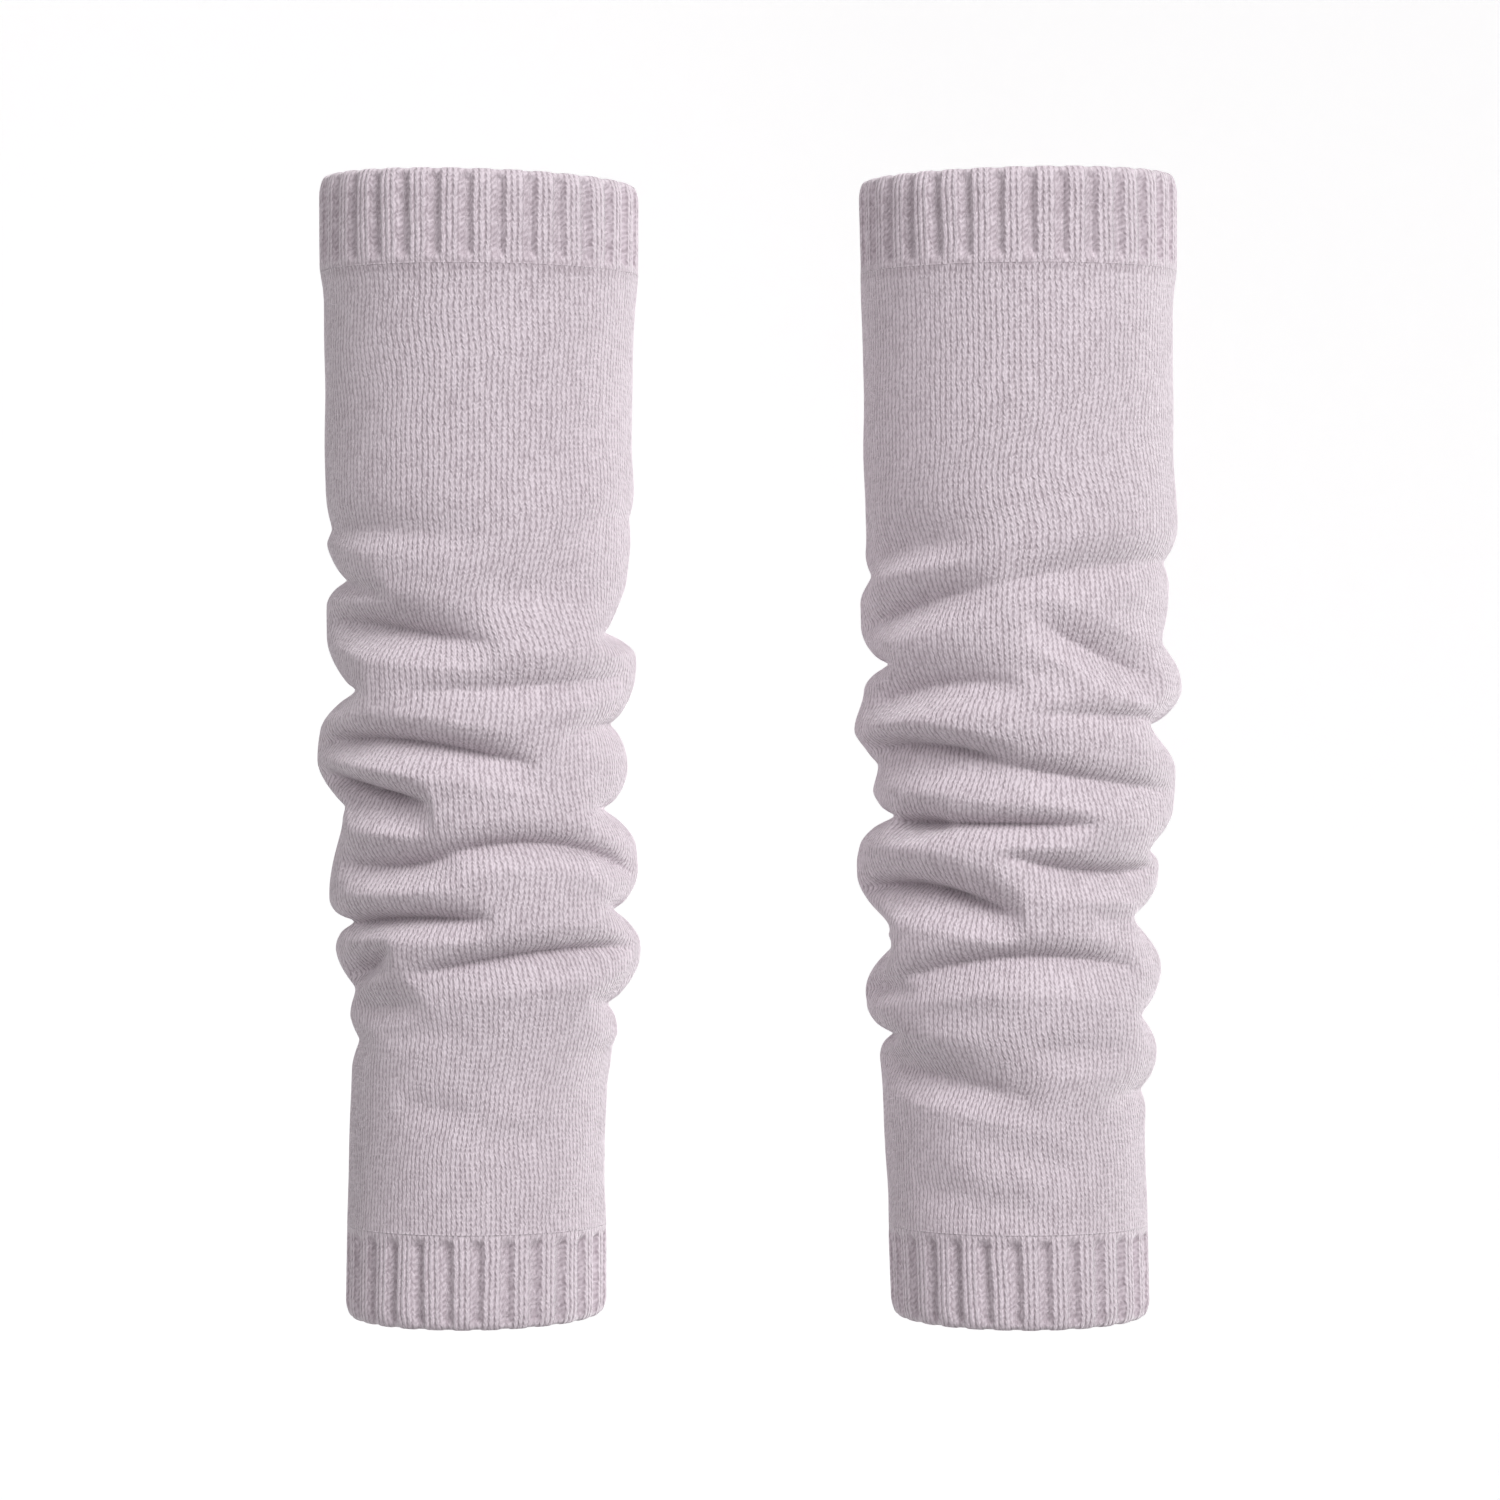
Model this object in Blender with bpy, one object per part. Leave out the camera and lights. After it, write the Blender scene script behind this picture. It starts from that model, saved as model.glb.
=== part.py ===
"""A pair of slouched, fine-knit arm warmers, hollow and filled out as if worn.

Each warmer is a tapering plain tube between two ribbed bands. The frame has +Z up, +X to the
viewer's right and the viewer on the -Y side. The origin is at the middle of the left warmer's
upper band, on its centre line. Heights along a warmer are given as the distance down from its
upper rim, and places round it as an angle: 0 at the front, 90 at the viewer's right, 180 behind.
"""

from collections import namedtuple
import math

import bmesh
import bpy

MM = 0.001

# Driving dimensions, in millimetres
PAIR_SPACING = 151.0
LENGTH = 316.0
RIM_ABOVE_ORIGIN = 13.0
UPPER_BAND = 26.0
LOWER_BAND = 25.0
SEAM_GAP = 0.3
WALL = 1.8
DEPTH_TO_WIDTH = 0.9

# Ribbed bands
RIB_HEIGHT = 1.2
RIB_TIP_ROUNDING = 0.5
RIB_TIP_LENGTH = 1.6
RIM_SCALLOP = 0.6
RIB_FADE_LENGTH = 3.0
UPPER_RIBS = 31
LOWER_RIBS = 27

# Where a rib's four outer points lie in one rib's width, and how far each is raised
RibPoint = namedtuple("RibPoint", "place raised")
RIB_POINTS = (
    RibPoint(-0.22, 1.0),
    RibPoint(0.22, 1.0),
    RibPoint(0.36, 0.0),
    RibPoint(0.64, 0.0),
)

# Grid of the plain tubes
TUBE_STEPS_ROUND = 36
FOLDED_FROM, FOLDED_TO = 94.0, 262.0
FOLDED_STEP, PLAIN_STEP = 4.4, 12.0

# How sharply a crease turns at its bottom, and how far a tilted rim reaches along the tube
CREASE_ROUNDING = 0.10
RIM_TILT_REACH = 60.0

# Half-widths of the filled-out cloth through the crests of its folds
Section = namedtuple("Section", "down left right")

LEFT_SECTIONS = (
    Section(0, 44.8, 44.8),
    Section(22, 44.7, 44.7),
    Section(33, 43.4, 44.2),
    Section(72, 42.8, 42.6),
    Section(91, 42.8, 42.9),
    Section(101, 42.8, 42.2),
    Section(117, 42.3, 41.2),
    Section(134, 42.5, 44.2),
    Section(145, 43.4, 43.0),
    Section(162, 45.5, 41.7),
    Section(176, 43.0, 43.1),
    Section(190, 41.7, 44.5),
    Section(202, 41.2, 45.1),
    Section(214, 39.9, 44.9),
    Section(229, 36.4, 41.2),
    Section(240, 35.3, 38.6),
    Section(253, 35.8, 35.8),
    Section(285, 36.7, 35.6),
    Section(313, 37.2, 35.6),
)

RIGHT_SECTIONS = (
    Section(0, 44.9, 44.4),
    Section(22, 44.3, 44.4),
    Section(33, 44.0, 43.7),
    Section(72, 43.5, 43.3),
    Section(97, 42.6, 44.2),
    Section(117, 43.8, 41.9),
    Section(129, 43.8, 42.8),
    Section(142, 43.5, 45.3),
    Section(153, 46.0, 44.7),
    Section(159, 43.6, 44.4),
    Section(167, 42.4, 44.2),
    Section(177, 42.6, 43.3),
    Section(191, 45.2, 39.7),
    Section(208, 44.0, 38.8),
    Section(222, 43.2, 39.5),
    Section(236, 41.0, 39.1),
    Section(247, 38.0, 38.3),
    Section(262, 37.4, 35.3),
    Section(285, 36.5, 36.0),
    Section(313, 35.4, 36.7),
)

# A crease runs round from one angle to another, through three heights and three depths.
# The cloth starts to roll into it this far above and below.
Crease = namedtuple(
    "Crease", "start end down_start down_middle down_end deep_start deep_middle deep_end above below"
)

LEFT_CREASES = (
    Crease(-150, 18, 98, 97.5, 102, 0.3, 2, 0.8, 10, 7),
    Crease(0, 52, 115, 114.5, 113.5, 0.2, 0.6, 0.2, 9, 8),
    Crease(35, 150, 96, 94, 96, 0.3, 1.3, 0.4, 8, 9),
    Crease(-175, -38, 117, 110.5, 117.5, 0.5, 5.4, 1.5, 13, 7),
    Crease(45, 160, 128, 124.7, 119, 0.3, 7.2, 1, 14, 6.5),
    Crease(-76, 12, 120.5, 126.5, 131, 1, 3.4, 2.4, 10, 7.5),
    Crease(-160, -42, 146, 142.8, 142.5, 1, 8.1, 0.4, 14, 10),
    Crease(-32, 84, 142.6, 141, 134.5, 0.3, 2.1, 1, 8, 9.5),
    Crease(36, 160, 153, 151, 147, 0.6, 4.6, 1, 11, 10),
    Crease(-86, 28, 158.5, 156.1, 164.5, 1, 3.9, 2.2, 9, 9),
    Crease(-160, -52, 178, 176.4, 174, 1, 8, 1, 13, 22),
    Crease(-70, -12, 169.5, 173, 177.5, 1.6, 4.8, 2.9, 9, 9),
    Crease(44, 160, 175, 175.4, 177, 0.4, 7.6, 1, 11, 10),
    Crease(-46, 82, 197, 183, 196, 0.6, 3.2, 1.3, 7.5, 8),
    Crease(-62, -16, 188.5, 191.3, 189.5, 0.6, 2.4, 0.8, 10, 8),
    Crease(-160, -55, 208.5, 207, 206, 1, 5.8, 1.5, 5.5, 8),
    Crease(-72, 8, 206.6, 205.3, 206.5, 2.1, 4.4, 1.9, 6.5, 7.5),
    Crease(46, 160, 201, 204.2, 207, 0.4, 6.9, 1, 11, 9),
    Crease(32, 64, 202, 199, 203.5, 0.2, 0.8, 0.3, 6.5, 8),
    Crease(-34, 84, 221, 213.2, 214.8, 0.3, 2.6, 0.8, 8, 9),
    Crease(-160, -60, 227, 226, 224.5, 1, 3.6, 1.5, 8, 8),
    Crease(-72, -32, 226, 218.5, 211.5, 1.6, 3.2, 1.6, 6.5, 7),
    Crease(48, 160, 228, 229.8, 229, 0.5, 4.9, 1, 11, 10.5),
    Crease(-66, -2, 229.5, 230.5, 236, 0.3, 1.5, 0.3, 9, 8),
    Crease(-150, -45, 241, 240, 238.5, 0.4, 2.1, 0.4, 7, 8),
    Crease(30, 120, 241.5, 242, 241, 0.3, 1, 0.4, 8, 7),
    Crease(125, 240, 121, 118, 113, 0.6, 3, 0.6, 10, 8),
    Crease(130, 235, 149, 145, 144, 0.6, 3.4, 0.6, 12, 9),
    Crease(140, 225, 160, 163, 160, 0.4, 2.2, 0.4, 9, 8),
    Crease(125, 240, 176, 180, 178, 0.8, 3.6, 0.8, 11, 12),
    Crease(130, 235, 206, 203, 207.5, 0.6, 3.2, 0.6, 9, 9),
    Crease(125, 230, 229, 225, 227, 0.6, 2.6, 0.6, 9, 8),
)

RIGHT_CREASES = (
    Crease(-100, -8, 108, 102.3, 101.5, 0.8, 2.4, 0.4, 13, 9.5),
    Crease(-175, -64, 112, 111, 110, 1, 4.6, 0.8, 8, 7),
    Crease(-88, -8, 125, 120.5, 111.5, 1.2, 3.2, 1.9, 11, 9),
    Crease(-20, 165, 113, 106.4, 112, 1.4, 2.6, 0.6, 8.5, 7),
    Crease(34, 66, 121.5, 121, 121.5, 0.2, 0.8, 0.2, 6.5, 7),
    Crease(0, 66, 122.5, 133.5, 137.5, 1.3, 3, 1.6, 10, 9),
    Crease(60, 160, 129, 127.5, 124, 0.6, 4.6, 1, 12, 8),
    Crease(-160, -52, 138, 135.2, 135, 1, 6.6, 1.4, 9.5, 7),
    Crease(-72, 14, 149.5, 142, 138.5, 1.6, 3.4, 1.3, 11, 8),
    Crease(-14, 22, 136.5, 137.5, 137.8, 0.4, 1.4, 0.5, 6.5, 7),
    Crease(-4, 60, 148.5, 148.3, 153, 0.3, 1.9, 2, 7.5, 8),
    Crease(46, 160, 150.5, 152.8, 150, 0.8, 10.4, 1.5, 10, 11),
    Crease(-130, -60, 164.5, 163, 161, 1, 3.4, 1.5, 8, 15),
    Crease(-78, -8, 161.5, 158, 163, 1.6, 4.4, 2.4, 9, 9),
    Crease(-30, 70, 159.5, 166, 172, 2.1, 2.6, 0.5, 8, 9),
    Crease(-160, -50, 178, 177.3, 177, 1, 6.4, 1.5, 11, 7.5),
    Crease(-66, 30, 177.5, 180.3, 178.2, 2.1, 2.6, 2.1, 8, 7),
    Crease(-66, -30, 178.5, 179.5, 180, 0.8, 3.8, 0.8, 9, 8),
    Crease(-8, 74, 188, 191.6, 194, 0.6, 2.7, 1.3, 9, 8),
    Crease(58, 160, 187, 185.2, 186, 0.8, 5.8, 1.2, 9, 5),
    Crease(-80, 4, 200.5, 197.4, 206.5, 1.6, 5, 2.7, 10, 9),
    Crease(-165, -50, 205.5, 206.8, 208.5, 1.2, 10, 2, 12, 8),
    Crease(-150, -50, 209.5, 211.5, 212.5, 1, 10, 1.5, 10, 14),
    Crease(24, 64, 200.5, 204, 205, 0.3, 1.4, 0.6, 7.5, 8),
    Crease(52, 160, 205, 205.8, 207, 0.8, 8.8, 1.2, 10, 12),
    Crease(-60, 56, 224.5, 215.2, 218, 0.8, 2.9, 1.8, 10, 9),
    Crease(-92, -36, 228, 225.6, 224.5, 1, 2.7, 1.2, 9, 8),
    Crease(-46, 0, 225, 229.2, 230.5, 0.3, 1, 0.2, 9, 8),
    Crease(52, 160, 232, 232.3, 230, 0.6, 6.4, 1, 12, 10),
    Crease(-160, -52, 236.5, 237.3, 238, 1, 5.4, 1, 6.5, 8),
    Crease(-4, 56, 236, 240.5, 239, 0.2, 1, 0.3, 7.5, 7),
    Crease(-92, 12, 238, 248.3, 255, 0.8, 2.9, 0.8, 12, 11),
    Crease(30, 165, 253.5, 253.2, 252, 0.5, 2.9, 0.6, 8, 7),
    Crease(125, 240, 125, 120, 113, 0.6, 3, 0.6, 9, 8),
    Crease(128, 236, 151, 146, 137, 0.8, 3.6, 0.8, 11, 9),
    Crease(130, 235, 165, 168, 172, 0.5, 2.6, 0.5, 9, 9),
    Crease(125, 240, 187, 182, 178, 0.6, 3.4, 0.6, 10, 9),
    Crease(125, 240, 206, 211, 209, 0.8, 3.8, 0.8, 11, 12),
    Crease(130, 235, 231, 235, 237, 0.6, 3, 0.6, 9, 8),
)

# How far a rim rises as a whole, at its right side and at its front
Rim = namedtuple("Rim", "all_round side front")

# The turns are the angles, in degrees, of one rib of each band
Warmer = namedtuple(
    "Warmer", "name centre sections creases upper_rim lower_rim upper_turn lower_turn"
)

WARMERS = (
    Warmer(
        name="left",
        centre=0.0,
        sections=LEFT_SECTIONS,
        creases=LEFT_CREASES,
        upper_rim=Rim(0.2, -1.2, -0.1),
        lower_rim=Rim(-0.6, 0.4, -1.5),
        upper_turn=3.6,
        lower_turn=-4.0,
    ),
    Warmer(
        name="right",
        centre=PAIR_SPACING,
        sections=RIGHT_SECTIONS,
        creases=RIGHT_CREASES,
        upper_rim=Rim(1.2, 0.9, -0.6),
        lower_rim=Rim(-0.8, 0.0, -1.4),
        upper_turn=-4.5,
        lower_turn=2.0,
    ),
)

# Finish: colour, roughness and metallic value
YARN_COLOUR = (0.600, 0.525, 0.575, 1.0)
YARN_ROUGHNESS = 0.9
YARN_METALLIC = 0.0


def clear_scene():
    for obj in list(bpy.data.objects):
        bpy.data.objects.remove(obj)


def half_width(sections, side, down):
    """One side's half-width at this height, from a smooth curve that keeps the rows' crests."""
    rows = [(row.down, getattr(row, side)) for row in sections]
    down = min(max(down, rows[0][0]), rows[-1][0])
    index = max(i for i in range(len(rows) - 1) if rows[i][0] <= down)
    (start, low), (end, high) = rows[index], rows[index + 1]
    slopes = [(b[1] - a[1]) / (b[0] - a[0]) for a, b in zip(rows, rows[1:])]

    def slope_at(row):
        before = slopes[max(row - 1, 0)]
        after = slopes[min(row, len(slopes) - 1)]
        return 0.0 if before * after <= 0 else 2 * before * after / (before + after)

    span = end - start
    t = (down - start) / span
    return (
        low * (1 + 2 * t) * (1 - t) ** 2
        + high * t * t * (3 - 2 * t)
        + span * slope_at(index) * t * (1 - t) ** 2
        - span * slope_at(index + 1) * t * t * (1 - t)
    )


def through_three(start, middle, end, along):
    """The parabola through three values, at -1, 0 and 1."""
    bend = (start + end) / 2 - middle
    return middle + (end - start) / 2 * along + bend * along * along


def crease_depth(crease, angle, down):
    """How far one crease draws the cloth in at this place."""
    middle = (crease.start + crease.end) / 2
    turn = (angle - middle + 180) % 360 - 180
    along = turn / ((crease.end - crease.start) / 2)
    if abs(along) >= 1:
        return 0.0
    height = through_three(crease.down_start, crease.down_middle, crease.down_end, along)
    deepest = through_three(crease.deep_start, crease.deep_middle, crease.deep_end, along)
    off = (down - height) / (crease.below if down > height else crease.above)
    off = math.hypot(off, CREASE_ROUNDING) - CREASE_ROUNDING
    return deepest * (1 - along**4) * max(0.0, 1 - off) ** 2


def rim_rise(warmer, angle, down):
    """How far the tilt of the nearer rim moves this place up."""
    turn = math.radians(angle)
    rise = 0.0
    for rim, away in ((warmer.upper_rim, down), (warmer.lower_rim, LENGTH - down)):
        reach = max(0.0, 1 - away / RIM_TILT_REACH) ** 2
        rise += reach * (rim.all_round + rim.side * math.sin(turn) + rim.front * math.cos(turn))
    return rise


def cloth_point(warmer, angle, down, inset=0.0, lowered=0.0):
    """A point of the cloth's outer face, moved in by inset and down by lowered, in metres."""
    left = half_width(warmer.sections, "left", down)
    right = half_width(warmer.sections, "right", down)
    folded = sum(crease_depth(crease, angle, down) ** 4 for crease in warmer.creases) ** 0.25
    inward = folded + inset
    turn = math.radians(angle)
    across = warmer.centre + (right - left) / 2 + ((left + right) / 2 - inward) * math.sin(turn)
    deep = -((left + right) / 2 * DEPTH_TO_WIDTH - inward) * math.cos(turn)
    height = RIM_ABOVE_ORIGIN - down - lowered + rim_rise(warmer, angle, down)
    return (across * MM, deep * MM, height * MM)


def spread(start, end, step):
    """Heights from start up to, but not at, end, in equal steps near to this one."""
    count = max(1, round((end - start) / step))
    return [start + (end - start) * i / count for i in range(count)]


def knit_material(name):
    material = bpy.data.materials.new(name + "_knit")
    material.use_nodes = True
    surface = material.node_tree.nodes["Principled BSDF"]
    surface.inputs["Base Color"].default_value = YARN_COLOUR
    surface.inputs["Roughness"].default_value = YARN_ROUGHNESS
    surface.inputs["Metallic"].default_value = YARN_METALLIC
    material.diffuse_color = YARN_COLOUR
    return material


def finish_solid(name, body):
    """Makes one named object from a closed bmesh."""
    bmesh.ops.recalc_face_normals(body, faces=body.faces)
    mesh = bpy.data.meshes.new(name)
    body.to_mesh(mesh)
    body.free()
    mesh.shade_smooth()
    mesh.set_sharp_from_angle(angle=math.radians(50))
    mesh.materials.append(knit_material(name))
    bpy.context.scene.collection.objects.link(bpy.data.objects.new(name, mesh))


def join_rings(body, first, second):
    """Faces between two rings of the same count."""
    for i in range(len(first)):
        after = (i + 1) % len(first)
        body.faces.new((first[i], first[after], second[after], second[i]))


def make_tube(warmer):
    """The plain, folded length between the bands: a wall with an outer and an inner face."""
    top = UPPER_BAND + SEAM_GAP
    bottom = LENGTH - LOWER_BAND - SEAM_GAP
    downs = spread(top, FOLDED_FROM, PLAIN_STEP)
    downs += spread(FOLDED_FROM, FOLDED_TO, FOLDED_STEP)
    downs += spread(FOLDED_TO, bottom, PLAIN_STEP) + [bottom]
    angles = [360 * i / TUBE_STEPS_ROUND for i in range(TUBE_STEPS_ROUND)]
    body = bmesh.new()
    outer, inner = (
        [[body.verts.new(cloth_point(warmer, angle, down, inset)) for angle in angles] for down in downs]
        for inset in (0.0, WALL)
    )
    for face in (outer, inner):
        for upper, lower in zip(face, face[1:]):
            join_rings(body, upper, lower)
    join_rings(body, outer[0], inner[0])
    join_rings(body, outer[-1], inner[-1])
    finish_solid(warmer.name + "_tube", body)


def close_band_edge(body, outer, inner):
    """The edge of a band: its ribbed outer ring has four points for each one of the inner ring."""
    for i, near in enumerate(inner):
        far = inner[(i + 1) % len(inner)]
        rib = [outer[(len(RIB_POINTS) * i + j) % len(outer)] for j in range(len(RIB_POINTS) + 1)]
        half = len(RIB_POINTS) // 2
        for a, b in zip(rib[:half], rib[1:]):
            body.faces.new((near, a, b))
        body.faces.new((near, rib[half], far))
        for a, b in zip(rib[half:], rib[half + 1 :]):
            body.faces.new((far, a, b))


def make_band(warmer, name, rim, seam, ribs, turn):
    """A ribbed band from its free rim to its seam, raised outside and plain inside."""
    way = math.copysign(1.0, seam - rim)
    width = 360 / ribs
    rings = (
        (rim, RIB_TIP_ROUNDING, RIM_SCALLOP, 1.0),
        (rim + way * RIB_TIP_LENGTH, 0.0, 0.0, 1.0),
        (seam - way * RIB_FADE_LENGTH, 0.0, 0.0, 1.0),
        (seam, 0.0, 0.0, 0.4),
    )
    body = bmesh.new()
    outer = []
    for down, drawn_in, scallop, raised in rings:
        ring = []
        for rib in range(ribs):
            for point in RIB_POINTS:
                sunk = 1 - raised * point.raised
                place = cloth_point(
                    warmer,
                    turn + width * (rib + point.place),
                    down,
                    inset=drawn_in + RIB_HEIGHT * sunk,
                    lowered=way * scallop * sunk,
                )
                ring.append(body.verts.new(place))
        outer.append(ring)
    starts = [turn + width * (rib + RIB_POINTS[0].place) for rib in range(ribs)]
    inner = [
        [body.verts.new(cloth_point(warmer, angle, down, RIB_HEIGHT + WALL)) for angle in starts]
        for down in (rim, seam)
    ]
    for upper, lower in zip(outer, outer[1:]):
        join_rings(body, upper, lower)
    join_rings(body, inner[0], inner[1])
    close_band_edge(body, outer[0], inner[0])
    close_band_edge(body, outer[-1], inner[-1])
    finish_solid(warmer.name + name, body)


def make_warmer(warmer):
    make_band(warmer, "_upper_cuff", 0.0, UPPER_BAND, UPPER_RIBS, warmer.upper_turn)
    make_tube(warmer)
    make_band(warmer, "_lower_cuff", LENGTH, LENGTH - LOWER_BAND, LOWER_RIBS, warmer.lower_turn)


clear_scene()
for each in WARMERS:
    make_warmer(each)
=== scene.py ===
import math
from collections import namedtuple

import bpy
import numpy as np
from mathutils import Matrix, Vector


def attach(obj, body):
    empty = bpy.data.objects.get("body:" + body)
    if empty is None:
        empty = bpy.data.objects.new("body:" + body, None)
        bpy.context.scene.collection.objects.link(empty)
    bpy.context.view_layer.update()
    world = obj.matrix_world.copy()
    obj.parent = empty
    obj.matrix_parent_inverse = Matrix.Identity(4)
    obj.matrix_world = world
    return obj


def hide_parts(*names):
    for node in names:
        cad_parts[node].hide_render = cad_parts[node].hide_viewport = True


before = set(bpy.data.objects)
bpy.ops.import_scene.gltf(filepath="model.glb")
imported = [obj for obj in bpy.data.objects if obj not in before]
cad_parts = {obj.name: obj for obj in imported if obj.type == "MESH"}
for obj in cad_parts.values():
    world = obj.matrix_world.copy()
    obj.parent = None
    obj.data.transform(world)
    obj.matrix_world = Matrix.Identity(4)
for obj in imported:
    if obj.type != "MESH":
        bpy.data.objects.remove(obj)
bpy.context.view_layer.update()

# A pair of slouched, fine-knit arm warmers, hollow and filled out as if worn, each a plain tube
# between two ribbed bands. Sizes are in millimetres unless they say otherwise. Heights along a
# warmer are the distance down from its upper rim, and places round it are an angle in degrees:
# 0 at the front, 90 at the viewer's right, 180 behind.

MM = 0.001

# The garment's sizes, as in the solids
PAIR_SPACING = 151.0
LENGTH = 316.0
RIM_ABOVE_ORIGIN = 13.0
UPPER_BAND = 26.0
LOWER_BAND = 25.0
WALL = 1.8
DEPTH_TO_WIDTH = 0.9
RIM_TILT_REACH = 60.0

# Ribbed bands. Below the gap level the cloth lies in a purl gap, which is partly closed near the
# rim, over the distance GAP_START, and fills up towards the seam, from GAP_END before it.
RIB_HEIGHT = 1.2
RIB_UNEVEN = 0.05
UPPER_RIBS = 31
LOWER_RIBS = 27
WALES_IN_RIB = 6
BAND_STEP = 0.46
INNER_BAND_STEP = 2.5
RIM_ROUNDING = 0.9
RIM_STEPS = 7
RIM_SCALLOP = 0.25
RIM_SCALLOP_REACH = 3.2
RIM_CURL = 1.5
RIM_CURL_REACH = 5.0
GAP_LEVEL = 0.3
GAP_START = 2.6
GAP_START_CLOSED = 0.8
GAP_END = 3.8
GAP_END_FADE = 3.04
PURL_BUMP = 0.20
PURL_TWIST = 4.5
INNER_RIB = 0.35
INNER_RIB_FADE = 3.0
INNER_COLUMNS_IN_RIB = 8

# Plain tubes, with close rings where the cloth is folded
WALES_ROUND = 168
COURSE = 1.66
FOLDED_FROM, FOLDED_TO = 90.0, 262.0
FOLDED_STEP, PLAIN_STEP = 0.74, 3.4
SEAM_RINGS = (0.3, 0.8)
INNER_STEP = 3.0
TUCK = 0.003
SEAM_FADE = 1.5
SWELL_FADE = 12.0

# Folds. Towards the front the cloth rolls over more roundly into a crease: from where the cosine
# of the angle is ROLL_FROM, and to the full from ROLL_TO on. FLAT_ABOVE and FLAT_BELOW are the
# share of that rounder roll above the crease and below it.
ROLL_FROM, ROLL_TO = 0.15, 0.65
CREASE_ROUNDING = 0.11
FLAT_ABOVE = 0.15
FLAT_BELOW = 0.7
FOLD_OVERHANG = 0.14
SLIT_WIDTH = 2.8
SLIT_ROUNDING = 0.7

# One stitch column of the plain knit: where its groove and ridge lie, and how far each is raised
ColumnPoint = namedtuple("ColumnPoint", "place raised")
WALE_POINTS = (ColumnPoint(0.0, -0.09), ColumnPoint(0.5, 0.03))

# One rib and the sunk purl gap beside it, in one rib's width: three stitch columns stand out
RIB_POINTS = (
    ColumnPoint(-0.345, -0.40),
    ColumnPoint(-0.318, 0.20),
    ColumnPoint(-0.290, 0.66),
    ColumnPoint(-0.245, 0.98),
    ColumnPoint(-0.190, 1.12),
    ColumnPoint(-0.140, 1.10),
    ColumnPoint(-0.110, 1.00),
    ColumnPoint(-0.095, 0.93),
    ColumnPoint(-0.080, 1.02),
    ColumnPoint(-0.040, 1.19),
    ColumnPoint(0.0, 1.23),
    ColumnPoint(0.040, 1.19),
    ColumnPoint(0.080, 1.02),
    ColumnPoint(0.095, 0.93),
    ColumnPoint(0.112, 1.01),
    ColumnPoint(0.150, 1.12),
    ColumnPoint(0.205, 1.14),
    ColumnPoint(0.262, 0.94),
    ColumnPoint(0.305, 0.60),
    ColumnPoint(0.340, 0.30),
    ColumnPoint(0.375, 0.12),
    ColumnPoint(0.440, -0.14),
    ColumnPoint(0.510, -0.40),
    ColumnPoint(0.580, -0.60),
)

# Soft unevenness of the filled cloth: whole waves round, wave length along, phase, height
Swell = namedtuple("Swell", "waves length phase height")
SWELLS = (
    Swell(2, 130.0, 0.4, 0.30),
    Swell(3, 74.0, 2.1, 0.20),
    Swell(5, 41.0, 4.0, 0.12),
    Swell(7, 27.0, 1.2, 0.08),
)

# How far the stitch columns lean round, in degrees, in the same kind of waves
LEANS = (Swell(1, 88.0, 2.6, 1.1), Swell(2, 47.0, 0.7, 0.9), Swell(3, 30.0, 4.4, 0.5))
LEAN_FADE = 30.0
BAND_LEANS = (Swell(5, 60.0, 1.0, 0.22), Swell(9, 34.0, 3.0, 0.12))
BAND_LEAN_FADE = 6.0

# Half-widths of the filled-out cloth through the crests of its folds
Section = namedtuple("Section", "down left right")

LEFT_SECTIONS = (
    Section(0, 44.8, 44.8),
    Section(22, 44.7, 44.7),
    Section(33, 43.4, 44.2),
    Section(72, 42.8, 42.6),
    Section(91, 42.8, 42.9),
    Section(101, 42.8, 42.2),
    Section(117, 42.3, 41.2),
    Section(134, 42.5, 44.2),
    Section(145, 43.4, 43.0),
    Section(162, 45.5, 41.7),
    Section(176, 43.0, 43.1),
    Section(190, 41.7, 44.5),
    Section(202, 41.2, 45.1),
    Section(214, 39.9, 44.9),
    Section(229, 36.4, 41.2),
    Section(240, 35.3, 38.6),
    Section(253, 35.8, 35.8),
    Section(285, 36.7, 35.6),
    Section(313, 37.2, 35.6),
)

RIGHT_SECTIONS = (
    Section(0, 44.9, 44.4),
    Section(22, 44.3, 44.4),
    Section(33, 44.0, 43.7),
    Section(72, 43.5, 43.3),
    Section(97, 42.6, 44.2),
    Section(117, 43.8, 41.9),
    Section(129, 43.8, 42.8),
    Section(142, 43.5, 45.3),
    Section(153, 46.0, 44.7),
    Section(159, 43.6, 44.4),
    Section(167, 42.4, 44.2),
    Section(177, 42.6, 43.3),
    Section(191, 45.2, 39.7),
    Section(208, 44.0, 38.8),
    Section(222, 43.2, 39.5),
    Section(236, 41.0, 39.1),
    Section(247, 38.0, 38.3),
    Section(262, 37.4, 35.3),
    Section(285, 36.5, 36.0),
    Section(313, 35.4, 36.7),
)

# A crease runs round from one angle to another, through three heights and three depths.
# The cloth starts to roll into it this far above and below. A slit is a narrow, deeper fold line.
Crease = namedtuple(
    "Crease",
    "start end down_start down_middle down_end deep_start deep_middle deep_end above below slit",
)

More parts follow.
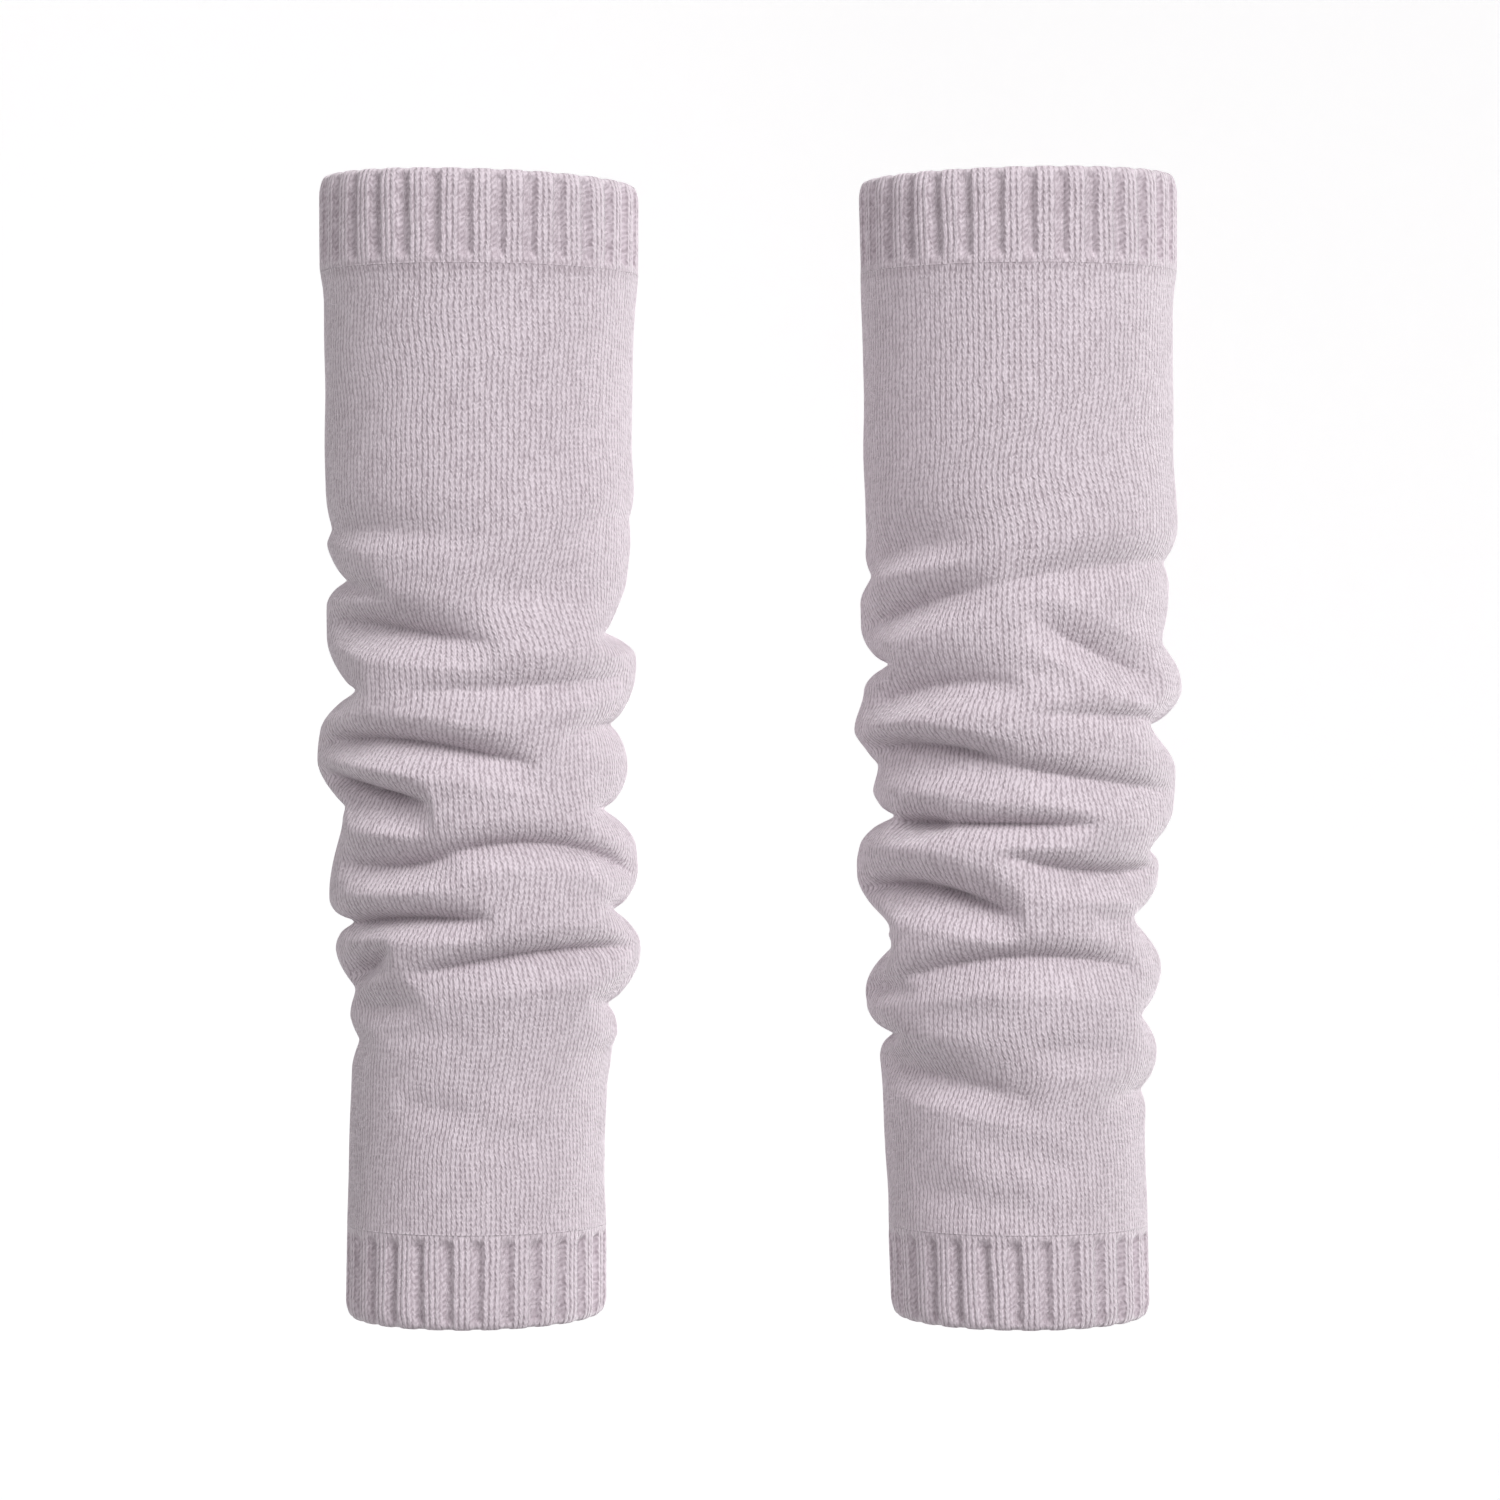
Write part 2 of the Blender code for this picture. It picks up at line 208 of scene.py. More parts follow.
LEFT_CREASES = (
    Crease(-72, -34, 112.5, 114, 116.5, 3, 3.2, 1, 7, 6.5, 0.5),
    Crease(-84, 9, 122.8, 125.2, 130.2, 1, 7.6, 4, 10.5, 9.5, 1),
    Crease(-30, 76, 143, 141.2, 138.2, 1.4, 2.8, 1.9, 9, 8, 0.4),
    Crease(-14, 20, 147.2, 147.5, 147.2, 0.2, 0.6, 0.2, 4, 6.5, 0),
    Crease(36, 62, 155.4, 152.6, 148.6, 0.4, 1.8, 0.9, 6, 8, 0),
    Crease(-86, 29, 157.8, 156, 163.6, 2.6, 7.2, 5.4, 7, 9.5, 1.5),
    Crease(-86, -14, 165.2, 169, 174.2, 2.6, 8.8, 7.8, 7.5, 12, 2.3),
    Crease(-70, -2, 189.6, 190.6, 186.4, 1, 6.8, 4, 10, 8, 1),
    Crease(-30, 84, 191.2, 184.1, 195.6, 3.4, 3.9, 1.6, 6.5, 8, 1.9),
    Crease(-76, 6, 208, 204.9, 205.6, 3, 6, 3, 7, 7, 2.2),
    Crease(-76, -36, 222, 217.8, 213.4, 2.5, 5.8, 1, 9, 7.5, 0.6),
    Crease(-32, 78, 221, 214.2, 213.8, 2.6, 5, 1.7, 6.5, 10.5, 2),
    Crease(-74, -20, 230, 229.4, 228.4, 0.8, 3, 0.4, 9, 8, 0),
    Crease(56, 86, 230, 226, 220, 0.6, 2, 0.6, 9, 5, 0),
    Crease(0, 52, 115, 114.5, 113.5, 0.2, 0.7, 0.2, 9, 9, 0),
    Crease(-66, -2, 235.5, 236, 236, 0.3, 0.8, 0.3, 8, 6, 0),
    Crease(-38, 8, 255.5, 257.5, 259, 0.4, 1.3, 0.5, 7, 8, 0),
    Crease(-8, 36, 262, 264.5, 265, 0.3, 1.2, 0.3, 6, 7, 0),
    Crease(-150, 18, 98, 97.5, 102, 0.3, 2, 0.8, 10, 7, 0),
    Crease(35, 150, 96, 94, 96, 0.3, 1.3, 0.4, 8, 9, 0),
    Crease(-175, -38, 117, 110.5, 117.5, 0.5, 5.4, 1.5, 13, 7, 0.8),
    Crease(45, 160, 128, 124.7, 119, 0.3, 7.2, 1, 14, 6.5, 1),
    Crease(-160, -42, 146, 142.8, 142.5, 1, 8.1, 0.4, 14, 10, 1.5),
    Crease(36, 160, 153, 151, 147, 0.6, 4.6, 1, 11, 10, 0.8),
    Crease(-160, -52, 178, 176.4, 174, 1, 8, 1, 13, 22, 1),
    Crease(44, 160, 175, 175.4, 177, 0.4, 7.6, 1, 11, 10, 1),
    Crease(-160, -55, 208.5, 207, 206, 1, 5.8, 1.5, 5.5, 8, 2.5),
    Crease(46, 160, 201, 204.2, 207, 0.4, 6.9, 1, 11, 9, 1),
    Crease(32, 64, 202, 199, 203.5, 0.2, 0.8, 0.3, 6.5, 8, 0),
    Crease(-160, -60, 227, 226, 224.5, 1, 3.6, 1.5, 8, 8, 0),
    Crease(48, 160, 228, 229.8, 229, 0.5, 4.9, 1, 11, 10.5, 1),
    Crease(-150, -45, 241, 240, 238.5, 0.4, 2.1, 0.4, 7, 8, 0),
    Crease(30, 120, 241.5, 242, 241, 0.3, 1, 0.4, 8, 7, 0),
    Crease(125, 240, 121, 118, 113, 0.6, 3, 0.6, 10, 8, 0),
    Crease(130, 235, 149, 145, 144, 0.6, 3.4, 0.6, 12, 9, 0),
    Crease(140, 225, 160, 163, 160, 0.4, 2.2, 0.4, 9, 8, 0),
    Crease(125, 240, 176, 180, 178, 0.8, 3.6, 0.8, 11, 12, 0),
    Crease(130, 235, 206, 203, 207.5, 0.6, 3.2, 0.6, 9, 9, 0),
    Crease(125, 230, 229, 225, 227, 0.6, 2.6, 0.6, 9, 8, 0),
)

RIGHT_CREASES = (
    Crease(-100, -8, 107, 103.4, 101, 1.6, 3.8, 0, 14, 8, 0),
    Crease(-92, -4, 125.4, 119.2, 112.6, 1.8, 6, 1.2, 11, 9, 0.4),
    Crease(-26, 80, 116, 109, 106.5, 0.4, 1.9, 0.8, 8, 9, 0.3),
    Crease(34, 66, 121, 120.7, 121, 0.2, 0.8, 0.2, 6, 8, 0),
    Crease(0, 60, 122, 132.4, 140.2, 1.4, 4.8, 2.6, 10, 11, 0.3),
    Crease(-78, 4, 148.8, 141, 141.8, 1.4, 5, 1.8, 12, 9, 0.5),
    Crease(-12, 24, 136.5, 137.8, 137.5, 0.3, 1.5, 0.3, 7, 9, 0),
    Crease(0, 68, 149, 149.4, 150.4, 0.3, 2.2, 2.4, 5.5, 8, 0.6),
    Crease(-82, 2, 159.6, 157.2, 164.2, 2.6, 7.2, 4.4, 6, 13, 1.4),
    Crease(-26, 80, 160.3, 166.8, 170.4, 3, 3.5, 0.9, 6, 11, 0.9),
    Crease(-64, 29, 179.6, 178.9, 179.6, 2, 3.8, 3.6, 6.5, 7, 2.4),
    Crease(-64, -26, 178.8, 178.5, 179, 2.2, 6.4, 2.2, 7.5, 7, 2.7),
    Crease(-8, 76, 187.4, 191.8, 191.2, 1.4, 4.4, 1.3, 5.5, 10, 1.4),
    Crease(-86, 4, 197.8, 196.3, 204.8, 3, 9.2, 7.6, 10, 11, 2.9),
    Crease(22, 62, 201, 204.9, 204.6, 0.2, 1.3, 0.4, 7, 8, 0),
    Crease(-66, 58, 225.4, 215.3, 219.8, 1.4, 4.6, 2.6, 6, 11, 1),
    Crease(-86, -38, 225, 224.4, 223.8, 2.4, 4, 0.2, 9, 6, 0),
    Crease(-46, 0, 230.5, 230.8, 230.2, 0.2, 1, 0.2, 7, 8, 0),
    Crease(-4, 56, 239.8, 240.8, 240, 0.3, 1.2, 0.3, 7, 8, 0),
    Crease(-92, 12, 244, 249.1, 255.5, 1, 5, 1, 12, 8.5, 0.2),
    Crease(-32, 30, 266, 269.5, 273.5, 0.3, 1.8, 0.6, 8, 6, 0),
    Crease(-58, 18, 280, 282.5, 287, 0.5, 2, 0.6, 9, 6.5, 0),
    Crease(-175, -64, 112, 111, 110, 1, 4.6, 0.8, 8, 7, 0),
    Crease(-20, 165, 113, 106.4, 112, 1.4, 2.6, 0.6, 8.5, 7, 0),
    Crease(60, 160, 129, 127.5, 124, 0.6, 4.6, 1, 12, 8, 0),
    Crease(-160, -52, 138, 135.2, 135, 1, 6.6, 1.4, 9.5, 7, 1.2),
    Crease(46, 160, 150.5, 152.8, 150, 0.8, 10.4, 1.5, 10, 11, 1),
    Crease(-130, -60, 164.5, 163, 161, 1, 3.4, 1.5, 8, 15, 0),
    Crease(-160, -50, 178, 177.3, 177, 1, 6.4, 1.5, 11, 7.5, 2),
    Crease(58, 160, 187, 185.2, 186, 0.8, 5.8, 1.2, 9, 5, 0),
    Crease(-165, -50, 205.5, 206.8, 208.5, 1.2, 10, 2, 12, 8, 0),
    Crease(-150, -50, 209.5, 211.5, 212.5, 1, 10, 1.5, 10, 14, 0),
    Crease(52, 160, 205, 205.8, 207, 0.8, 8.8, 1.2, 10, 12, 1),
    Crease(52, 160, 232, 232.3, 230, 0.6, 6.4, 1, 12, 10, 0.8),
    Crease(-160, -52, 236.5, 237.3, 238, 1, 5.4, 1, 6.5, 8, 1.4),
    Crease(30, 165, 253.5, 253.2, 252, 0.5, 2.9, 0.6, 8, 7, 0),
    Crease(125, 240, 125, 120, 113, 0.6, 3, 0.6, 9, 8, 0),
    Crease(128, 236, 151, 146, 137, 0.8, 3.6, 0.8, 11, 9, 0),
    Crease(130, 235, 165, 168, 172, 0.5, 2.6, 0.5, 9, 9, 0),
    Crease(125, 240, 187, 182, 178, 0.6, 3.4, 0.6, 10, 9, 0),
    Crease(125, 240, 206, 211, 209, 0.8, 3.8, 0.8, 11, 12, 0),
    Crease(130, 235, 231, 235, 237, 0.6, 3, 0.6, 9, 8, 0),
)

# How far a rim rises as a whole, at its right side and at its front
Rim = namedtuple("Rim", "all_round side front")

# The turns are the angles, in degrees, of one rib of each band
Warmer = namedtuple(
    "Warmer", "name centre sections creases upper_rim lower_rim upper_turn lower_turn"
)

WARMERS = (
    Warmer(
        name="left",
        centre=0.0,
        sections=LEFT_SECTIONS,
        creases=LEFT_CREASES,
        upper_rim=Rim(0.2, -1.2, -0.1),
        lower_rim=Rim(-0.6, 0.4, -1.5),
        upper_turn=3.6,
        lower_turn=-4.0,
    ),
    Warmer(
        name="right",
        centre=PAIR_SPACING,
        sections=RIGHT_SECTIONS,
        creases=RIGHT_CREASES,
        upper_rim=Rim(1.2, 0.9, -0.6),
        lower_rim=Rim(-0.8, 0.0, -1.4),
        upper_turn=-4.5,
        lower_turn=2.0,
    ),
)

# Where the bands begin and end, down from the upper rim
BAND_ENDS = (0.0, UPPER_BAND, LENGTH - LOWER_BAND, LENGTH)

# Where each face of the cloth and each joining edge lies along the bake map
OUTER_BAKE = (0.0, 0.78)
INNER_BAKE = (0.80, 0.98)
FIRST_EDGE_BAKE = 0.785
LAST_EDGE_BAKE = 0.99
EDGE_BAKE_WIDTH = 0.004

# Yarn. The bumps are in metres. A scale is about how many spots of a noise lie in a metre.
# The yarn's colour is mixed between these two by its own specks and patches, and by painted shade
# in stitch grooves, purl gaps and under the upper band
YARN_DARK = (0.430, 0.362, 0.402, 1.0)
YARN_LIGHT = (0.735, 0.655, 0.708, 1.0)
YARN_ROUGHNESS = 0.88
YARN_SPECULAR = 0.2
SHEEN_WEIGHT = 0.9
SHEEN_ROUGHNESS = 0.4
SHEEN_TINT = (1.0, 0.965, 0.985, 1.0)
STITCH_BUMP = 0.00032
HAIR_BUMP = 0.00012
STITCH_UNEVEN = 0.5
# Painted shade on the first course under the upper band
SEAM_PAINTED_SHADE = 0.26
PATCHES, PATCH_SCALE = 0.05, 38
MELANGE, MELANGE_SCALE = 0.16, 900
HAIR_SCALE = 2600
COLUMN_SHIFT = 0.8
WALE_WANDER, WALE_WANDER_SCALE = 0.12, 330
COURSE_WANDER, COURSE_WANDER_SCALE = 0.25, 200

# In a rib's width: one stitch column, and where the raised columns give way to the purl gap
COLUMN_IN_RIB = 0.19
KNIT_FROM, PURL_FROM = 0.29, 0.38

# View and light, in metres
CAMERA_PLACE = (0.07588, -1.45, -0.1458)
PIXEL_SIZE = 0.00028
PHOTO_PIXELS = 1500
SENSOR_MM = 36.0
FLOOR_HEIGHT = -2.20
FLOOR_END = 2.6
FLOOR_REACH = 30.0
SWEEP_RADIUS = 1.5
BACKDROP_TOP = 7.0
PAPER_WHITE = (0.95, 0.95, 0.95, 1.0)
PAPER_GLOW = 0.33
FLOOR_GREY = (0.6, 0.6, 0.6, 1.0)
STUDIO_TINT = (1.0, 0.965, 0.985, 1.0)
STUDIO_STRENGTH = 0.33

# Square lights that all face the middle of the pair
PAIR_MIDDLE = (0.0755, 0.0, -0.145)
Light = namedtuple("Light", "name place size power")
LIGHTS = (
    Light("right_light", (2.2, -2.6, 1.95), 2.0, 137.0),
    Light("left_light", (-2.6, -1.9, 1.95), 2.0, 40.0),
    Light("right_edge_light", (2.2, 1.6, 0.2), 0.9, 42.0),
)


def smooth(t):
    t = np.clip(t, 0, 1)
    return t * t * (3 - 2 * t)


def half_width(sections, side, down):
    """One side's half-width at each height, from a smooth curve that keeps the rows' crests."""
    at = np.array([row.down for row in sections], float)
    width = np.array([getattr(row, side) for row in sections], float)
    rises = np.diff(width) / np.diff(at)
    before, after = np.r_[rises[0], rises], np.r_[rises, rises[-1]]
    turns = before * after <= 0
    slope = np.where(turns, 0, 2 * before * after / np.where(turns, 1, before + after))
    down = np.clip(down, at[0], at[-1])
    row = np.clip(np.searchsorted(at, down, side="right") - 1, 0, len(at) - 2)
    span = at[row + 1] - at[row]
    t = (down - at[row]) / span
    return (
        width[row] * (1 + 2 * t) * (1 - t) ** 2
        + width[row + 1] * t * t * (3 - 2 * t)
        + span * slope[row] * t * (1 - t) ** 2
        - span * slope[row + 1] * t * t * (1 - t)
    )


def through_three(start, middle, end, along):
    """The parabola through three values, at -1, 0 and 1."""
    return middle + (end - start) / 2 * along + ((start + end) / 2 - middle) * along * along


def crease_push(crease, angle, down):
    """How far one crease draws the cloth in, and how far the fold above it hangs over it."""
    middle = (crease.start + crease.end) / 2
    along = ((angle - middle + 180) % 360 - 180) / ((crease.end - crease.start) / 2)
    height = through_three(crease.down_start, crease.down_middle, crease.down_end, along)
    deepest = through_three(crease.deep_start, crease.deep_middle, crease.deep_end, along)
    shown = np.where(abs(along) < 1, 1 - along**4, 0)
    off = (down - height) / np.where(down > height, crease.below, crease.above)
    away = np.clip(np.hypot(off, CREASE_ROUNDING) - CREASE_ROUNDING, 0, 1)
    narrow = np.hypot(down - height, SLIT_ROUNDING) - SLIT_ROUNDING
    slit = crease.slit * np.clip(1 - narrow / SLIT_WIDTH, 0, 1) ** 2
    above = np.clip(-off, 0, 1)
    hang = (deepest + crease.slit) * FOLD_OVERHANG * 4 * above * (1 - above) ** 2
    in_front = smooth((np.cos(np.radians(angle)) - ROLL_FROM) / (ROLL_TO - ROLL_FROM))
    even = np.where(down > height, FLAT_BELOW, FLAT_ABOVE) * in_front
    rolled = (1 - even) * (1 - away) ** 2 + even * smooth(1 - away)
    return shown * (deepest * rolled + slit), shown * hang


def waves(rows, angle, down):
    turn = np.radians(angle)
    return sum(
        row.height * np.sin(row.waves * turn + row.phase + 2 * math.pi * down / row.length)
        for row in rows
    )


def rim_rise(warmer, angle, down):
    """How far the tilt of the nearer rim moves each place up."""
    turn = np.radians(angle)
    rise = 0.0
    for rim, away in ((warmer.upper_rim, down), (warmer.lower_rim, LENGTH - down)):
        reach = np.clip(1 - away / RIM_TILT_REACH, 0, None) ** 2
        rise = rise + reach * (rim.all_round + rim.side * np.sin(turn) + rim.front * np.cos(turn))
    return rise


def cloth(warmer, angle, down, inset=0.0, lowered=0.0):
    """Points of the cloth's outer face, moved in by inset and down by lowered, in metres."""
    angle, down = np.broadcast_arrays(angle, down)
    left = half_width(warmer.sections, "left", down)
    right = half_width(warmer.sections, "right", down)
    pushes = [crease_push(crease, angle, down) for crease in warmer.creases]
    folded = sum(push**4 for push, _ in pushes) ** 0.25
    hang = sum(sag**4 for _, sag in pushes) ** 0.25
    from_upper, from_lower = down - UPPER_BAND, LENGTH - LOWER_BAND - down
    plain = smooth(from_upper / SWELL_FADE) * smooth(from_lower / SWELL_FADE)
    inward = folded + inset - plain * waves(SWELLS, angle + warmer.centre, down)
    turn = np.radians(angle)
    across = warmer.centre + (right - left) / 2 + ((left + right) / 2 - inward) * np.sin(turn)
    deep = -((left + right) / 2 * DEPTH_TO_WIDTH - inward) * np.cos(turn)
    height = RIM_ABOVE_ORIGIN - down - lowered - hang + rim_rise(warmer, angle, down)
    return np.stack([across, deep, height], -1) * MM


def spread(start, end, step):
    """Heights from start up to, but not at, end, in equal steps near to this one."""
    count = max(1, round((end - start) / step))
    return [start + (end - start) * i / count for i in range(count)]


class Shell:
    """A closed mesh made of grids that run all round a warmer, with its stitch and bake maps."""

    def __init__(self):
        self.points, self.count = [], 0
        self.faces, self.soft, self.stitches, self.bakes = [], [], [], []

    def add_grid(self, points, wales, courses, bake_range, inside=False):
        """Adds rings of points, rows by columns. Returns the vertex numbers, in the same shape."""
        rows, columns = points.shape[:2]
        ring = self.count + np.arange(rows * columns).reshape(rows, columns)
        self.points.append(points.reshape(-1, 3))
        self.count += rows * columns
        across = np.linspace(0, 1, columns + 1)
        bake = np.stack(np.broadcast_arrays(across, np.linspace(*bake_range, rows)[:, None]), -1)
        closed = np.concatenate([courses, courses[:, :1]], axis=1)
        stitch = np.stack([np.broadcast_to(wales, closed.shape), closed], -1)
        wrapped = np.concatenate([ring, ring[:, :1]], axis=1)
        self._add_quads(wrapped, stitch, bake, inside)
        return ring

    def _add_quads(self, ids, stitch, bake, inside):
        def corners(a):
            quad = [a[:-1, :-1], a[1:, :-1], a[1:, 1:], a[:-1, 1:]]
            return np.stack(quad[::-1] if inside else quad, 2).reshape(-1, 4, *a.shape[2:])

        quads = corners(ids).tolist()
        self.faces += quads
        self.soft += [True] * len(quads)
        self.stitches.append(corners(stitch).reshape(-1, 2))
        self.bakes.append(corners(bake).reshape(-1, 2))

    def join(self, fine, coarse, wales, course, bake_at, flip=False):
        """Faces from a fine ring to a coarse one, each coarse step facing as many fine ones."""
        times = len(fine) // len(coarse)
        for i, near in enumerate(coarse):
            far = coarse[(i + 1) % len(coarse)]
            for j in range(times):
                step = i * times + j
                a, b = fine[step], fine[(step + 1) % len(fine)]
                left, right = step / len(fine), (step + 1) / len(fine)
                tip, at = (near, left) if j < times / 2 else (far, right)
                self._add_triangle((a, tip, b), (left, at, right), wales, course, bake_at, flip)
                if j == (times - 1) // 2:
                    ids, across = (near, far, b), (left, right, right)
                    self._add_triangle(ids, across, wales, course, bake_at, not flip)

    def _add_triangle(self, ids, across, wales, course, bake_at, flip):
        order = (2, 1, 0) if flip else (0, 1, 2)
        self.faces.append([int(ids[k]) for k in order])
        self.soft.append(False)
        self.stitches.append(np.array([(across[k] * wales, course) for k in order]))
        bake = [(across[k], bake_at + EDGE_BAKE_WIDTH * (k == 1)) for k in order]
        self.bakes.append(np.array(bake))

    def finish(self, name, material, node):
        """Makes the piece, hangs it on the root body and hides the solid's part that it stands for.
        """
        mesh = bpy.data.meshes.new(name)
        mesh.from_pydata(np.concatenate(self.points).tolist(), [], self.faces)
        for layer, corners in (("knit", self.stitches), ("OFBake", self.bakes)):
            uv = mesh.uv_layers.new(name=layer)
            uv.data.foreach_set("uv", np.concatenate(corners).astype(np.float32).ravel())
        mesh.materials.append(material)
        mesh.polygons.foreach_set("use_smooth", self.soft)
        piece = bpy.data.objects.new(name, mesh)
        bpy.context.scene.collection.objects.link(piece)
        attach(piece, "root")
        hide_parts(node)
        return piece


def tube_courses(points):
    """How many courses from the upper rim each point of a tube lies: as many in every column."""
    steps = np.linalg.norm(np.diff(points, axis=0), axis=-1) / MM
    length = np.concatenate([np.zeros((1, points.shape[1])), np.cumsum(steps, axis=0)])
    straight = LENGTH - LOWER_BAND - UPPER_BAND
    gathered = round((length[-1].mean() - straight) / COURSE)
    return UPPER_BAND / COURSE + length / length[-1] * (straight / COURSE + gathered)


def make_tube(warmer, material):
    """The plain, folded length between the bands, with its stitch columns raised outside."""
    top, bottom = UPPER_BAND, LENGTH - LOWER_BAND
    coarser = 1
    first, second = SEAM_RINGS
    downs = [top - TUCK, top + first]
    downs += spread(top + second, FOLDED_FROM, PLAIN_STEP * coarser)
    downs += spread(FOLDED_FROM, FOLDED_TO, FOLDED_STEP * coarser)
    downs += spread(FOLDED_TO, bottom - second, PLAIN_STEP * coarser)
    downs = np.array(downs + [bottom - second, bottom - first, bottom + TUCK])
    inset = np.zeros(len(downs))
    inset[[0, -1]] = TUCK
    wales = np.arange(WALES_ROUND)[:, None] + [point.place for point in WALE_POINTS]
    from_seam = np.minimum(downs - top, bottom - downs)[:, None]
    raised = np.tile([point.raised for point in WALE_POINTS], WALES_ROUND)
    raised = raised * smooth(from_seam / SEAM_FADE)
    angle = wales.ravel() * 360 / WALES_ROUND
    lean = waves(LEANS, angle + warmer.centre, downs[:, None]) * smooth(from_seam / LEAN_FADE)
    outer = cloth(warmer, angle + lean, downs[:, None], inset[:, None] - raised)
    shell = Shell()
    across = np.r_[wales.ravel(), WALES_ROUND]
    outside = shell.add_grid(outer, across, tube_courses(outer), OUTER_BAKE)
    inner_downs = np.array(spread(top, bottom, INNER_STEP) + [bottom])
    inner_angle = np.arange(WALES_ROUND // 2) * 720 / WALES_ROUND
    inner = cloth(warmer, inner_angle, inner_downs[:, None], WALL)
    inner_across = np.linspace(0, WALES_ROUND, len(inner_angle) + 1)
    inside = shell.add_grid(inner, inner_across, tube_courses(inner), INNER_BAKE, inside=True)
    shell.join(outside[0], inside[0], WALES_ROUND, 0.0, FIRST_EDGE_BAKE)
    shell.join(outside[-1], inside[-1], WALES_ROUND, 0.0, LAST_EDGE_BAKE, flip=True)
    piece = shell.finish(warmer.name + "_tube_cloth", material, warmer.name + "_tube")


def make_band(warmer, name, rim, seam, ribs, turn, material):
    """A ribbed band from its free, rounded rim to its seam. Away is the distance from the rim."""
    way = math.copysign(1.0, seam - rim)
    width = abs(seam - rim)
    places = np.array([point.place for point in RIB_POINTS])
    profile = np.array([point.raised for point in RIB_POINTS])
    across = (np.arange(ribs)[:, None] + places).ravel()
    raised = np.tile(profile, ribs)
    uneven = np.random.default_rng(ribs + int(warmer.centre))
    raised = raised * np.repeat(1 + RIB_UNEVEN * uneven.standard_normal(ribs), len(places))
    in_gap = smooth(1 - raised / GAP_LEVEL)

    coarser = 1
    aways = np.array(spread(RIM_ROUNDING, width, BAND_STEP * coarser) + [width])[:, None]
    filled = smooth((aways - (width - GAP_END)) / GAP_END_FADE)
    slant = (rim + way * aways) / COURSE + PURL_TWIST * across
    purl = in_gap * PURL_BUMP * np.sin(2 * math.pi * slant)
    face = raised + purl * (1 - filled)
    face = face * (1 - filled) + RIB_HEIGHT * filled
    closed = GAP_START_CLOSED * smooth(1 - (aways - RIM_ROUNDING) / GAP_START)
    face = face + closed * np.clip(RIB_HEIGHT - face, 0, None)
    lip = np.linspace(0, 1, RIM_STEPS + 2)[1:-1, None]
    thick = WALL + face[0]
    insets = np.concatenate([
        (RIB_HEIGHT + WALL) - thick * (1 + np.cos(math.pi * lip)) / 2,
        RIB_HEIGHT - face,
    ])
    lip_away = RIM_ROUNDING * (1 - np.sin(math.pi * lip))
    away = np.broadcast_to(np.concatenate([lip_away, aways]), insets.shape)
    order = np.r_[np.arange(RIM_STEPS)[::-1], np.arange(RIM_STEPS, RIM_STEPS + len(aways))]
    insets, away = insets[order], away[order]
    sunk = 1 - np.clip(raised / RIB_HEIGHT, 0, 1)
    insets = insets + RIM_CURL * np.clip(1 - away / RIM_CURL_REACH, 0, 1) ** 2
    lowered = way * RIM_SCALLOP * sunk * smooth(1 - away / RIM_SCALLOP_REACH)
    angle = turn + across * 360 / ribs
    down = rim + way * away
    angle = angle + waves(BAND_LEANS, angle, down) * smooth((width - away) / BAND_LEAN_FADE)
    outer = cloth(warmer, angle, down, insets, lowered)

    shell = Shell()
    upward = way < 0
    wales = np.r_[across, ribs + across[0]] * WALES_IN_RIB
    outside = shell.add_grid(outer, wales, down / COURSE, OUTER_BAKE, inside=upward)
    inner_across = across[:: len(places) // INNER_COLUMNS_IN_RIB]
    inner_away = np.array(spread(RIM_ROUNDING, width, INNER_BAND_STEP) + [width])[:, None]
    inner_down = rim + way * inner_away
    inner_rib = INNER_RIB * np.cos(2 * math.pi * inner_across)
    inner_rib = inner_rib * smooth((inner_away - RIM_ROUNDING) / INNER_RIB_FADE)
    inner_curl = RIM_CURL * np.clip(1 - inner_away / RIM_CURL_REACH, 0, 1) ** 2
    inner_inset = RIB_HEIGHT + WALL - inner_rib + inner_curl
    inner = cloth(warmer, turn + inner_across * 360 / ribs, inner_down, inner_inset)
    inner_wales = np.r_[inner_across, ribs + inner_across[0]] * WALES_IN_RIB
    courses = np.broadcast_to(inner_down / COURSE, inner.shape[:2])
    inside = shell.add_grid(inner, inner_wales, courses, INNER_BAKE, inside=not upward)
    wales_round, last = ribs * WALES_IN_RIB, width / COURSE
    shell.join(outside[0], inside[0], wales_round, 0.0, FIRST_EDGE_BAKE, flip=upward)
    shell.join(outside[-1], inside[-1], wales_round, last, LAST_EDGE_BAKE, flip=not upward)
    piece = shell.finish(warmer.name + name + "_cloth", material, warmer.name + name)


